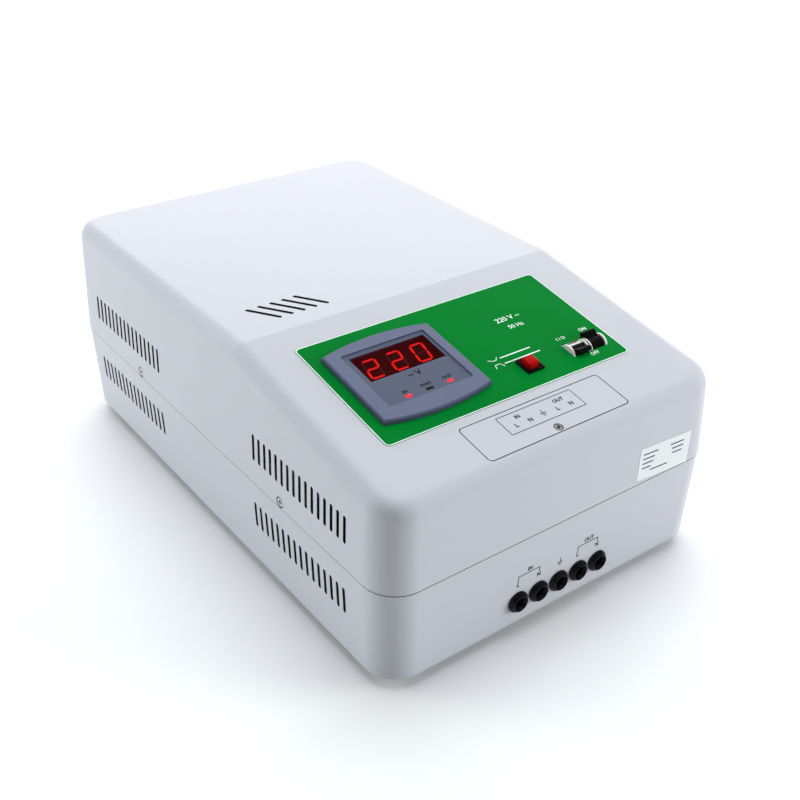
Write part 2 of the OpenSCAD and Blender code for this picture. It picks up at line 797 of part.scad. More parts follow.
module breaker(side) {
  well_r = drum_r + slack;
  shoulder = breaker_top - nose_h;
  entry = terminal_r * 2;
  color("white") at_breaker(side) difference() {
    union() {
      rotate([90, 0, 90]) linear_extrude(breaker_w, center = true) breaker_profile();
      rotate([0, 90, 0]) cylinder(h = breaker_w, r = cheek_r, center = true, $fn = 64);
    }
    rotate([0, 90, 0]) cylinder(h = lever_w + 2 * slack, r = well_r, center = true, $fn = 64);
    translate([0, 0, cheek_r / 2]) cube([lever_w + 2 * slack, 2 * cheek_r + over, cheek_r], center = true);
    rotate([0, 90, 0])
      cylinder(h = lever_w + 4 * slack + 2 * lever_pin_l, r = lever_pin_r + pin_slack,
        center = true, $fn = 32);
    for (end = sides()) {
      translate([0, end * (breaker_l - nose_l / 4) / 2, shoulder - entry])
        cylinder(h = entry + over, r = terminal_r, $fn = 32);
      translate([0, end * breaker_l / 2, shoulder - 2 * entry])
        cube([2 * entry - terminal_r, entry, entry], center = true);
    }
  }
}

// A lever at lean degrees from upright, positive towards the front
module lever(side, lean) {
  color("black") at_breaker(side) {
    rotate([0, 90, 0]) {
      cylinder(h = lever_w, r = drum_r, center = true, $fn = 64);
      cylinder(h = lever_w + 2 * (slack + lever_pin_l), r = lever_pin_r, center = true, $fn = 32);
    }
    rotate([lean, 0, 0]) rotate([0, 90, 0]) linear_extrude(lever_w - handle_in, center = true) hull() {
      circle(handle_root_r, $fn = 32);
      translate([handle_tip_r - lever_reach, 0]) circle(handle_tip_r, $fn = 32);
    }
  }
}

module mains_breaker() { breaker(1); }
module bypass_breaker() { breaker(-1); }
module mains_lever() { lever(1, -lever_lean); }
module bypass_lever() { lever(-1, lever_lean); }

// Seat of the rail on its bracket, and the bracket's legs
rail_seat_z = breaker_top - pivot_depth - breaker_depth + groove_depth - slack - rail_h;
leg_w = 20;

// Places its children at the rail's two screws, z above the bracket's seat
module at_rail_screws(z) {
  for (s = sides())
    on_panel(breaker_x + s * (rail_l / 2 - 2 * m4_r), breaker_g, rail_seat_z + z) children();
}

module breaker_rail() {
  web_w = rail_w - 2 * rail_lip;
  color("silver") difference() {
    on_panel(breaker_x, breaker_g, rail_seat_z) rotate([90, 0, 90]) linear_extrude(rail_l, center = true) {
      for (s = sides()) {
        translate([s * (rail_w - rail_lip - rail_t) / 2, rail_h - rail_t / 2])
          square([rail_lip + rail_t, rail_t], center = true);
        translate([s * (web_w - rail_t) / 2, rail_h / 2]) square([rail_t, rail_h], center = true);
      }
      translate([0, rail_t / 2]) square([web_w, rail_t], center = true);
    }
    at_rail_screws(-over) cylinder(h = rail_t + 2 * over, r = m4_r + hole_slack, $fn = 24);
  }
}

module breaker_bracket() {
  leg_x = rail_l / 2 + leg_out;
  color("silver") difference() {
    on_panel(breaker_x, breaker_g) {
      translate([0, 0, rail_seat_z - sheet / 2]) cube([2 * leg_x + sheet, leg_w, sheet], center = true);
      for (s = sides()) {
        translate([s * leg_x, 0, (rail_seat_z - 2 * sheet) / 2 - seat_gap])
          cube([sheet, leg_w, -rail_seat_z], center = true);
        translate([s * (leg_x + bracket_flange / 2), 0, -3 * sheet / 2 - seat_gap])
          cube([bracket_flange + sheet, leg_w, sheet], center = true);
      }
    }
    at_rail_screws(-sheet - over) cylinder(h = sheet + 2 * over, r = m4_r + hole_slack, $fn = 24);
  }
}

module breaker_rail_screws() {
  color("silver") at_rail_screws(rail_t) mirror([0, 0, 1]) pan_screw(m4_r, 2 * sheet + rail_t);
}

// Transformer: pads, core and clamp stack up from the floor
pad_t = 3;
pad_in = 6;
pad_r = coil_r - pad_in;
coil_z = floor_top_z + pad_t;
coil_round = 16;
clamp_over = 22;
clamp_r = coil_hole_r + clamp_over;
clamp_t = 3;
clamp_dish = 6;
bolt_r = 5;
bolt_head_h = 5;
section_gap = 4;
washer_r = 11;

// Ring section of the winding: outline in plan radius and height, drawn in by inset
module coil_outline(inset) {
  w = coil_r - coil_hole_r - 2 * inset;
  h = coil_h - 2 * inset;
  translate([(coil_r + coil_hole_r) / 2, coil_h / 2]) round_plate(w, h, coil_round - inset);
}

module at_coil(z) {
  translate([0, coil_y, z]) children();
}

module toroid_core() {
  color("slategray") at_coil(coil_z)
    rotate_extrude($fn = 96) coil_outline(coil_t);
}

module toroid_winding() {
  step = 360 / coil_sections;
  color("peru") at_coil(coil_z)
    for (n = [0 : coil_sections - 1]) rotate([0, 0, n * step + section_gap / 2])
      rotate_extrude(angle = step - section_gap, $fn = 96) difference() {
        coil_outline(0);
        coil_outline(coil_t - slack);
      }
}

module pad(z) {
  color("dimgray") at_coil(z) difference() {
    cylinder(h = pad_t, r = pad_r, $fn = 96);
    translate([0, 0, -over]) cylinder(h = pad_t + 2 * over, r = coil_hole_r, $fn = 64);
  }
}

module toroid_lower_pad() { pad(floor_top_z); }
module toroid_upper_pad() { pad(coil_z + coil_h); }

module toroid_clamp_disc() {
  top = coil_z + coil_h + pad_t;
  color("silver") at_coil(top) rotate_extrude($fn = 96) difference() {
    polygon([[0, -clamp_dish], [coil_hole_r - clamp_dish, -clamp_dish], [coil_hole_r, 0], [clamp_r, 0],
      [clamp_r, clamp_t], [coil_hole_r - clamp_t / 2, clamp_t],
      [coil_hole_r - clamp_dish - clamp_t / 2, clamp_t - clamp_dish], [0, clamp_t - clamp_dish]]);
    translate([0, -clamp_dish - over]) square([bolt_r + hole_slack, clamp_t + 2 * over]);
  }
}

module toroid_bolt() {
  top = coil_z + coil_h + pad_t + clamp_t - clamp_dish + 2 * bolt_head_h + thread_out;
  color("silver") at_coil(0) {
    translate([0, 0, floor_z - bolt_head_h]) cylinder(h = bolt_head_h, r = head_share * bolt_r, $fn = 6);
    translate([0, 0, floor_z - skin]) cylinder(h = top - floor_z, r = bolt_r, $fn = 48);
  }
}

module toroid_nut() {
  color("silver") at_coil(coil_z + coil_h + pad_t + clamp_t - clamp_dish) difference() {
    union() {
      cylinder(h = bolt_head_h / 2, r = washer_r, $fn = 48);
      cylinder(h = 3 * bolt_head_h / 2, r = head_share * bolt_r, $fn = 6);
    }
    translate([0, 0, -over]) cylinder(h = 2 * bolt_head_h + over, r = bolt_r + pin_slack, $fn = 32);
  }
}

// Control board on standoffs, ahead of the transformer on the left
board_w = 150;
board_side = 19;
board_front = 62.5;
board_back = 55;
board_x = board_side + board_w / 2 - half_w;
board_l = coil_y - coil_r - board_back - board_front + half_d;
board_y = board_front + board_l / 2 - half_d;
standoff_h = 10;
standoff_r = 3.5;
board_edge = 6;
board_z = floor_top_z + standoff_h;
relay_count = 6;
relay_w = 16;
relay_l = 29;
relay_h = 25;
relay_r = 1;
relay_pitch = 22;
cap_count = 3;
plug_count = 3;
// Rows on the board: relays near the transformer, plugs along the front
row_y = board_l / 2 - relay_l / 2 - 2 * board_edge;
plug_y = board_edge - board_l / 2 + relay_w / 2;

module at_board_corners() {
  for (x = sides(), y = sides())
    translate([board_x + x * (board_w / 2 - board_edge), board_y + y * (board_l / 2 - board_edge), 0])
      children();
}

module control_board() {
  color("darkgreen") difference() {
    translate([board_x, board_y, board_z])
      linear_extrude(board_t) round_plate(board_w, board_l, board_edge / 2);
    at_board_corners() translate([0, 0, board_z - over])
      cylinder(h = board_t + 2 * over, r = m3_r + hole_slack, $fn = 24);
  }
}

module board_standoffs() {
  color("gold") at_board_corners() translate([0, 0, floor_top_z]) difference() {
    cylinder(h = standoff_h, r = standoff_r, $fn = 6);
    translate([0, 0, -over]) cylinder(h = standoff_h + 2 * over, r = m3_r + pin_slack, $fn = 24);
  }
}

module board_screws() {
  color("silver") at_board_corners() {
    translate([0, 0, board_z + board_t]) mirror([0, 0, 1]) pan_screw(m3_r, standoff_h / 2);
    translate([0, 0, floor_z]) pan_screw(m3_r, standoff_h / 3);
  }
}

// Sits its children on the control board, at a place measured from its middle
module on_board(x, y) {
  translate([board_x + x, board_y + y, board_z + board_t]) children();
}

module relays() {
  color("royalblue") for (n = [0 : relay_count - 1])
    on_board((n - (relay_count - 1) / 2) * relay_pitch, row_y)
      linear_extrude(relay_h) round_plate(relay_w, relay_l, relay_r);
}

module board_capacitors() {
  can_r = relay_w / 2;
  can_y = (row_y - relay_l / 2 + plug_y + relay_w / 4) / 2;
  color("midnightblue") for (n = [0 : cap_count - 1])
    on_board((n - (cap_count - 1) / 2) * relay_pitch - board_w / 4, can_y)
      cylinder(h = relay_h, r = can_r, $fn = 48);
}

module board_plugs() {
  color("ivory") for (n = [0 : plug_count - 1])
    on_board((n - (plug_count - 1) / 2) * 2 * relay_pitch, plug_y)
      difference() {
        linear_extrude(relay_w * 3 / 4) square([relay_l, relay_w / 2], center = true);
        translate([0, 0, board_t])
          linear_extrude(relay_w) square([relay_l - board_t, relay_w / 3], center = true);
      }
}

// Terminal block on its bracket under the terminal cover
block_y = -bend_ahead - lid_g * cos(panel_angle);
block_l = 26;
block_h = 14;
rib_t = 2.5;
rib_h = 6;
strip_share = 0.6;
block_w = way_count * way_pitch + rib_t;
plate_side = 6;
plate_w = block_w + 2 * plate_side;
plate_l = 30;
leg_foot = 14;
block_base_z = floor_z + block_z;

module at_block() {
  translate([0, block_y, block_base_z]) children();
}

module terminal_block() {
  way_r = m4_r + hole_slack;
  color("dimgray") at_block() difference() {
    union() {
      translate([0, 0, skin]) linear_extrude(block_h) square([block_w, block_l], center = true);
      for (n = [0 : way_count])
        translate([(n - way_count / 2) * way_pitch, 0, (block_h + rib_h) / 2])
          cube([rib_t, block_l, block_h + rib_h], center = true);
    }
    for (n = [0 : way_count - 1], y = sides())
      translate([(n - (way_count - 1) / 2) * way_pitch, y * block_l / 4, rib_t])
        cylinder(h = block_h, r = way_r, $fn = 24);
    translate([0, 0, -over]) cube([block_w + over, block_l / 3, 2 * over], center = true);
  }
}

module terminal_screws() {
  strip_t = 1.2;
  strip_w = way_pitch * strip_share;
  color("goldenrod") at_block() for (n = [0 : way_count - 1])
    translate([(n - (way_count - 1) / 2) * way_pitch, 0, block_h + skin]) {
      translate([0, 0, strip_t / 2]) cube([strip_w, block_l - rib_t, strip_t], center = true);
      for (y = sides())
        translate([0, y * block_l / 4, strip_t]) mirror([0, 0, 1]) pan_screw(m4_r, block_h / 2);
    }
}

module at_bracket_feet() {
  for (x = sides()) translate([x * (plate_w / 2 + leg_foot / 2), block_y, 0]) children();
}

module terminal_bracket() {
  color("silver") difference() {
    union() {
      at_block() translate([0, 0, -sheet])
        linear_extrude(sheet - skin) square([plate_w, plate_l], center = true);
      for (x = sides()) {
        translate([x * (plate_w - sheet) / 2, block_y, (floor_top_z + block_base_z) / 2])
          cube([sheet, plate_l, block_base_z - floor_top_z - sheet / 2], center = true);
        translate([x * (plate_w / 2 + leg_foot / 2 - sheet / 2), block_y, floor_top_z + sheet / 2])
          cube([leg_foot + sheet, plate_l, sheet], center = true);
      }
    }
    at_bracket_feet() cylinder(h = floor_top_z + sheet + over, r = m4_r + hole_slack, $fn = 24);
  }
}

module bracket_screws() {
  color("silver") at_bracket_feet()
    translate([0, 0, floor_top_z + sheet]) mirror([0, 0, 1]) pan_screw(m4_r, 3 * sheet);
}

// A grommet on z = 0, the outer face of its wall, with its cable bore
module grommet(n) {
  inner_lip = 1.4;
  inner_r = grommet_neck_r + inner_lip;
  lip = grommet_out / 4;
  inner_t = 3.5;
  back = -sheet - grommet_rest;
  color("black") at_grommet(n) rotate_extrude($fn = 64) polygon([
    [cable_r, back - inner_t], [inner_r - lip, back - inner_t], [inner_r, back], [grommet_neck_r, back],
    [grommet_neck_r, grommet_rest], [grommet_r, grommet_rest], [grommet_r, grommet_rest + lip],
    [grommet_mouth_r + lip / 2, grommet_out], [grommet_mouth_r, grommet_out], [cable_r, lip]
  ]);
}

module grommet_input_line() { grommet(0); }
module grommet_input_neutral() { grommet(1); }
module grommet_earth() { grommet(2); }
module grommet_output_line() { grommet(3); }
module grommet_output_neutral() { grommet(4); }

base_shell();
top_cover();
rubber_feet();
foot_screws();
foot_nuts();
seam_screws();
terminal_cover();
terminal_cover_screw();
panel_overlay();
display_bezel();
display_window();
display_module();
display_board();
display_board_screws();
display_clips();
status_lamps();
button_switch();
button_cap();
mains_breaker();
mains_lever();
bypass_breaker();
bypass_lever();
breaker_rail();
breaker_bracket();
breaker_rail_screws();
toroid_core();
toroid_winding();
toroid_lower_pad();
toroid_upper_pad();
toroid_clamp_disc();
toroid_bolt();
toroid_nut();
control_board();
board_standoffs();
board_screws();
relays();
board_capacitors();
board_plugs();
terminal_block();
terminal_screws();
terminal_bracket();
bracket_screws();
grommet_input_line();
grommet_input_neutral();
grommet_earth();
grommet_output_line();
grommet_output_neutral();
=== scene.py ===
"""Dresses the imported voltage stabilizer: finishes, lamps, printed marks, studio and camera."""
import json
import math

import bmesh
import bpy
from mathutils import Matrix, Vector


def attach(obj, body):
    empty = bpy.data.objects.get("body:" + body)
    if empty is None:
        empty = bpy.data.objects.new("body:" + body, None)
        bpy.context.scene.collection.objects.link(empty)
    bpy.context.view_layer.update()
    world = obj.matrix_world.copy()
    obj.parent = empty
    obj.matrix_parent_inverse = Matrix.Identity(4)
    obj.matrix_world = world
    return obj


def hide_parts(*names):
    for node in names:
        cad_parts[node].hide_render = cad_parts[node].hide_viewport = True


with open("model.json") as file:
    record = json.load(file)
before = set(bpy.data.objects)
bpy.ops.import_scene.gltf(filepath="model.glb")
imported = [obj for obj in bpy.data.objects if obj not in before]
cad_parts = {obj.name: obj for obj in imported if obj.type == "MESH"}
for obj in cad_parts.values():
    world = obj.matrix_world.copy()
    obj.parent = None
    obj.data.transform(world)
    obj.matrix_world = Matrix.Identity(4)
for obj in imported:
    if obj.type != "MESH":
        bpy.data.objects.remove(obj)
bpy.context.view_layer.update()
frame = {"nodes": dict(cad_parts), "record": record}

MILLI = Matrix.Scale(0.001, 4)
FLAT_EDGE = math.radians(32)

# Sizes in millimetres, as in the part's source
HALF_WIDTH = 160.0
HALF_DEPTH = 247.5
FOOT_H = 8.0
BASE_H = 80.0
BASE_EDGE = 5.0
BASE_LEAN = 3.5
SEAM_STEP = 0.5
SEAM_GAP = 1.0
COVER_H = 104.0
COVER_LEAN = 2.0
BEND_AHEAD = 50.0
BASE_SLANT = (BASE_LEAN - SEAM_STEP) / (BASE_H - BASE_EDGE)
DECK_Z = FOOT_H + BASE_H + COVER_H
PANEL_SLOPE = math.radians(10)
OVERLAY_T = 0.4
INK_T = 0.03
PRINT_Z = 0.01
SEAM_SCREW = (159.7, 115.5, 93.6)
LID_G, LID_W, LID_L, LID_R, LID_GAP = 171.0, 132.0, 36.0, 3.0, 0.5
LID_SCREW_G = 184.25
BREAKERS_X = 84.512
LEVER_PIVOT = (-169.048, 167.455)
RECESS_X, RECESS_G = -59.5, 83.0
BEZEL_RISE, RECESS_DEPTH, WINDOW_T, MODULE_GAP = 4.5, 1.0, 2.0, 0.6


# Places: a matrix whose x runs right, y up the mark and z out of the surface

def on_panel(x, g, z=0.0):
    """On the control panel, g down its slope from the bend."""
    return (Matrix.Translation((0, -BEND_AHEAD, DECK_Z)) @ Matrix.Rotation(PANEL_SLOPE, 4, "X")
            @ Matrix.Translation((x, -g, z)))


def on_cover_front(x, z, out=0.0):
    """On the cover's front wall, z above the underside of the housing."""
    lean = COVER_LEAN * (z - BASE_H) / COVER_H
    tip = math.atan(COVER_LEAN / COVER_H)
    return (Matrix.Translation((x, lean - HALF_DEPTH, FOOT_H + z))
            @ Matrix.Rotation(math.radians(90) - tip, 4, "X") @ Matrix.Translation((0, 0, out)))


def on_base_front(x, z, out=0.0):
    """On the base shell's front wall, z above the underside of the housing."""
    y = SEAM_STEP + BASE_SLANT * (BASE_H - z) - HALF_DEPTH
    tip = math.atan(BASE_SLANT)
    return (Matrix.Translation((x, y, FOOT_H + z))
            @ Matrix.Rotation(math.radians(90) + tip, 4, "X") @ Matrix.Translation((0, 0, out)))


# Shader maths

class Value:
    """An output of a shader node, on which + - * and / add Math nodes."""

    def __init__(self, finish, socket):
        self.finish = finish
        self.socket = socket

    def math(self, operation, first, second=0.0):
        return self.finish.node("ShaderNodeMath", {"operation": operation}, {0: first, 1: second})

    def __add__(self, other):
        return self.math("ADD", self, other)

    def __radd__(self, other):
        return self.math("ADD", other, self)

    def __sub__(self, other):
        return self.math("SUBTRACT", self, other)

    def __rsub__(self, other):
        return self.math("SUBTRACT", other, self)

    def __mul__(self, other):
        return self.math("MULTIPLY", self, other)

    def __rmul__(self, other):
        return self.math("MULTIPLY", other, self)

    def __truediv__(self, other):
        return self.math("DIVIDE", self, other)

    def __rtruediv__(self, other):
        return self.math("DIVIDE", other, self)

    def power(self, other):
        return self.math("POWER", self, other)

    def sine(self):
        return self.math("SINE", self)

    def size(self):
        return self.math("ABSOLUTE", self)

    def larger(self, other):
        return self.math("MAXIMUM", self, other)

    def angle_over(self, other):
        """Angle of the point (other, self), in radians."""
        return self.math("ARCTAN2", self, other)

    def between(self, low, high, to_low=0.0, to_high=1.0):
        """Runs from to_low to to_high as the value runs from low to high."""
        return self.finish.node("ShaderNodeMapRange", {"clamp": True},
                                {0: self, 1: low, 2: high, 3: to_low, 4: to_high})

    def spread(self, to_low=0.0, to_high=1.0):
        """Runs from to_low to to_high over the span that noise mostly fills."""
        return self.between(0.3, 0.7, to_low, to_high)

    def under(self, limit, fade=0.001):
        """1 up to the limit, and 0 from a fade past it."""
        return self.between(limit + fade, limit)


class Finish:
    """A material and the nodes that make it."""

    def __init__(self, name):
        self.material = bpy.data.materials.new(name)
        self.material.use_nodes = True
        self.nodes = self.material.node_tree.nodes
        self.links = self.material.node_tree.links
        self.nodes.clear()
        self.spot = self.node("ShaderNodeTexCoord", output="Object")

    def node(self, kind, settings=None, sockets=None, output=0):
        """A node of that kind: its settings first, then the values or links of its sockets."""
        made = self.nodes.new(kind)
        for key, value in (settings or {}).items():
            setattr(made, key, value)
        for key, value in (sockets or {}).items():
            if isinstance(value, Value):
                self.links.new(value.socket, made.inputs[key])
            else:
                made.inputs[key].default_value = value
        return Value(self, made.outputs[output]) if made.outputs else None

    def noise(self, scale, detail=2.0, stretch=(1.0, 1.0, 1.0)):
        """Cloudy noise with scale lumps to the metre."""
        spot = self.spot
        if stretch != (1.0, 1.0, 1.0):
            spot = self.node("ShaderNodeMapping", None, {"Vector": spot, "Scale": stretch})
        return self.node("ShaderNodeTexNoise", None,
                         {"Vector": spot, "Scale": scale, "Detail": detail})

    def along(self, axis):
        """The place along one axis, in metres."""
        return self.node("ShaderNodeSeparateXYZ", None, {0: self.spot}, output=axis)

    def mix(self, share, low, high):
        """Colour low where share is 0 and high where it is 1."""
        return self.node("ShaderNodeMix", {"data_type": "RGBA"}, {0: share, 6: low, 7: high},
                         output=2)

    def bump(self, height, depth):
        """A normal from height, which reaches depth metres where it is 1."""
        return self.node("ShaderNodeBump", None,
                         {"Strength": 1.0, "Distance": depth, "Height": height})

    def surface(self, **sockets):
        """Ends the material in one Principled surface and returns it."""
        named = {key.replace("_", " "): value for key, value in sockets.items()}
        shader = self.node("ShaderNodeBsdfPrincipled", None, named)
        self.node("ShaderNodeOutputMaterial", None, {0: shader})
        return self.material


def far(a, b):
    """Distance of the point (a, b) from the origin."""
    return (a.power(2.0) + b.power(2.0)).power(0.5)


def in_panel(y, z):
    """How far down the panel's slope and how far out of it a spot at y, z lies, in metres."""
    y, z = y + BEND_AHEAD / 1000, z - DECK_Z / 1000
    return (y * -math.cos(PANEL_SLOPE) - z * math.sin(PANEL_SLOPE),
            z * math.cos(PANEL_SLOPE) - y * math.sin(PANEL_SLOPE))


def shade(colour, factor):
    """The colour made lighter or darker by the factor."""
    return tuple(min(c * factor, 1.0) for c in colour[:3]) + (1.0,)


# Finishes

def painted_gap_shade(f):
    """1 on the faces in the slots, seam gap, lid gap and screw dimples, where near-black painted
    shade goes, else 0.
    """
    x, y, z = (f.along(axis) for axis in range(3))
    g, out = in_panel(y, z)
    near_panel = out.size().under(0.0015, 0.0001)

    seam = (FOOT_H + BASE_H) / 1000
    lean_up = (z - seam) * (COVER_LEAN / COVER_H)
    lean_down = (seam - z) * BASE_SLANT + SEAM_STEP / 1000
    depth = HALF_WIDTH / 1000 - lean_up.larger(lean_down) - x.size()
    side_vents = (depth.between(0.00015, 0.0003)
                  * y.size().under(0.204) * (z - seam).size().under(0.052))
    top_vents = (z.between(0.18, 0.181) * z.under(0.1917, 0.0001)
                 * (y - 0.09).size().under(0.125) * x.size().under(0.142))
    half_gap = SEAM_GAP / 2000
    groove = (z - seam - half_gap).size().under(half_gap + 0.00003, 0.00003)

    over_w = (x.size() - (LID_W / 2 - LID_R) / 1000).larger(0.0)
    over_l = ((g - LID_G / 1000).size() - (LID_L / 2 - LID_R) / 1000).larger(0.0)
    past_lid = far(over_w, over_l) - (LID_R + LID_GAP / 2) / 1000
    # Painted shade covers the lid's gap and reaches a little past it onto the faces beside it.
    lid_edge = past_lid.size().under(0.00034, 0.00004) * near_panel

    # Painted shade: a dark ring round each screw head.
    side, end, up = (size / 1000 for size in SEAM_SCREW)
    seam_seats = (far(y.size() - end, z - up).under(0.0045, 0.0001)
                  * x.size().between(side - 0.002, side - 0.0019))
    lid_seat = far(g - LID_SCREW_G / 1000, x).under(0.0037, 0.0001) * near_panel
    return (side_vents.larger(top_vents).larger(groove).larger(lid_edge)
            .larger(seam_seats + lid_seat))


def powder_coat(name, colour):
    """Satin powder coat: fine orange peel, faint clouds of tone, and dust in its roughness;
    near-black painted shade in its slots, gaps and screw dimples.
    """
    f = Finish(name)
    peel = f.noise(300.0, 1.0)
    clouds = f.noise(3.0, 2.0)
    dust = f.noise(240.0, 2.0)
    paint = f.mix(clouds.spread(), shade(colour, 0.99), shade(colour, 1.01))
    # Painted shade: the slot, gap and dimple faces turn near-black.
    return f.surface(Base_Color=f.mix(painted_gap_shade(f), paint, (0.012, 0.012, 0.013, 1)),
                     Roughness=dust.spread(0.38, 0.42), Specular_IOR_Level=0.2,
                     Normal=f.bump(peel, 0.000002), IOR=1.5)


def moulded(name, colour, roughness, grain=900.0, depth=0.00001, tone=0.06, shine=0.5):
    """Moulded plastic with a spark-eroded grain."""
    f = Finish(name)
    fine = f.noise(grain, 2.0)
    tones = f.noise(30.0, 3.0).spread()
    return f.surface(Base_Color=f.mix(tones, shade(colour, 1 - tone), shade(colour, 1 + tone)),
                     Roughness=fine.spread(roughness - 0.05, roughness + 0.05),
                     Specular_IOR_Level=shine, Normal=f.bump(fine, depth))


def bezel_moulding(name, colour):
    """Grained blue-grey plastic, with painted shade: everything lower than the frame's face, the
    recess floor and the outer sides, at two thirds of its colour.
    """
    f = Finish(name)
    fine = f.noise(1100.0, 2.0)
    # 1 on the frame's face, 0 on the recess floor and lower sides, which get painted shade.
    face = in_panel(f.along(1), f.along(2))[1].between(0.0037, 0.0041)
    tones = f.noise(25.0, 3.0).spread()
    frame_colour = f.mix(tones, shade(colour, 0.95), shade(colour, 1.05))
    # Painted shade: below the frame's face the colour drops to two thirds.
    return f.surface(Base_Color=f.mix(face, shade(colour, 0.66), frame_colour),
                     Roughness=fine.spread(0.46, 0.56),
                     Specular_IOR_Level=0.25, Normal=f.bump(fine, 0.000012))


def printed_film(name, colour):
    """Polycarbonate film printed on its back: even colour under a fine matt texture."""
    f = Finish(name)
    grain = f.noise(1600.0, 2.0)
    tones = f.noise(12.0, 2.0).spread()
    return f.surface(Base_Color=f.mix(tones, shade(colour, 0.96), shade(colour, 1.04)),
                     Roughness=grain.spread(0.34, 0.42), Specular_IOR_Level=0.012,
                     Normal=f.bump(grain, 0.000006))


def rubber(name, colour, roughness=0.6, shine=0.3):
    """Moulded rubber with bloom."""
    f = Finish(name)
    bloom = f.noise(180.0, 4.0)
    tones = f.mix(bloom.between(0.45, 0.75), shade(colour, 0.8), shade(colour, 1.7))
    return f.surface(Base_Color=tones,
                     Roughness=bloom.spread(roughness - 0.08, roughness + 0.1),
                     Specular_IOR_Level=shine, Normal=f.bump(f.noise(1500.0, 2.0), 0.00001))


def lever_plastic(name, colour, pale, handle_angle):
    """Black lever whose drum has a pale field a little behind the handle."""
    f = Finish(name)
    g, out = in_panel(f.along(1), f.along(2))
    pivot_g, pivot_out = in_panel(*(place / 1000 for place in LEVER_PIVOT))
    turn = (out - pivot_out).angle_over(pivot_g - g)
    start, end = math.radians(handle_angle - 195), math.radians(handle_angle - 55)
    field = turn.between(start, start + 0.03) * turn.between(end + 0.03, end)
    fine = f.noise(800.0, 2.0)
    return f.surface(Base_Color=f.mix(field, colour, pale),
                     Roughness=fine.spread(0.45, 0.55), Specular_IOR_Level=0.06,
                     Normal=f.bump(fine, 0.000008))


def paired_white(name, colour):
    """Pale moulding of the two breakers, dark in the joint between them."""
    f = Finish(name)
    fine = f.noise(1000.0, 2.0)
    joint = (f.along(0) - BREAKERS_X / 1000).size().under(0.0006, 0.0002)
    tones = f.mix(f.noise(30.0, 3.0), shade(colour, 0.97), colour)
    return f.surface(Base_Color=f.mix(joint, tones, (0.05, 0.05, 0.05, 1)),
                     Roughness=fine.spread(0.38, 0.46), Specular_IOR_Level=0.3,
                     Normal=f.bump(fine, 0.00001))


def plated(name, colour, roughness, stretch=(1.0, 1.0, 12.0)):
    """Plated metal with fine brush lines and clouded passivation."""
    f = Finish(name)
    lines = f.noise(700.0, 3.0, stretch)
    clouds = f.noise(70.0, 3.0)
    return f.surface(Base_Color=f.mix(clouds.spread(), shade(colour, 0.88), shade(colour, 1.06)),
                     Metallic=1.0,
                     Roughness=lines.spread(roughness - 0.08, roughness + 0.1),
                     Normal=f.bump(lines, 0.000006))


def wound_copper(name, colour, turns):
    """Enamelled wire laid side by side round the ring, seen as turns across it, with painted shade
    darkening the valleys between turns.
    """
    f = Finish(name)
    wire = ((f.along(1) - 0.108).angle_over(f.along(0)) * float(turns)).sine()
    tone = f.noise(45.0, 3.0)
    enamel = f.mix(tone.spread(), shade(colour, 0.8), shade(colour, 1.15))
    # Painted shade: the valleys between turns drop to a quarter of the enamel's colour.
    return f.surface(Base_Color=f.mix(wire.between(-1.0, 0.4), shade(colour, 0.25), enamel),
                     Metallic=0.9, Roughness=tone.spread(0.24, 0.36),
                     Normal=f.bump(wire, 0.0006))


def circuit_board(name, colour):
    """Solder mask over tracks, with fine clouds in its roughness."""
    f = Finish(name)
    tracks = f.node("ShaderNodeTexBrick", {"offset": 0.37},
                    {"Vector": f.spot, "Scale": 90.0, "Mortar Size": 0.12, "Color1": (0, 0, 0, 1),
                     "Color2": (0, 0, 0, 1), "Mortar": (1, 1, 1, 1)}, output=1)
    return f.surface(Base_Color=f.mix(tracks, colour, shade(colour, 1.8)),
                     Roughness=f.noise(300.0, 2.0).spread(0.25, 0.35),
                     Normal=f.bump(tracks, 0.00004))


def lit(name, colour, strength):
    """Tinted plastic that glows a little unevenly."""
    f = Finish(name)
    glow = f.noise(500.0, 1.0).spread()
    return f.surface(Base_Color=colour, Emission_Color=f.mix(glow, shade(colour, 0.85), colour),
                     Emission_Strength=strength, Roughness=0.25, Specular_IOR_Level=0.1)


def red_filter(name):
    """Dark red acrylic: the digits shine through it."""
    f = Finish(name)
    smears = f.noise(40.0, 3.0)
    return f.surface(Base_Color=f.mix(smears, (0.050, 0.001, 0.002, 1), (0.062, 0.001, 0.002, 1)),
                     Alpha=0.45, Roughness=smears.spread(0.10, 0.18), Specular_IOR_Level=0.06)


def ink(name, colour):
    """Screen-printed ink, a little thin in places."""
    f = Finish(name)
    cover = f.noise(2600.0, 2.0)
    return f.surface(Base_Color=f.mix(cover.between(0.35, 0.6), shade(colour, 1.25), colour),
                     Roughness=0.55, Specular_IOR_Level=0.08, Normal=f.bump(cover, 0.000004))


def sticker_paper(name, colour):
    """Coated paper with faint fibres."""
    f = Finish(name)
    fibres = f.noise(900.0, 4.0, (1.0, 1.0, 4.0))
    return f.surface(Base_Color=f.mix(fibres.spread(), shade(colour, 0.97), colour),
                     Roughness=fibres.spread(0.4, 0.5), Normal=f.bump(fibres, 0.000008))


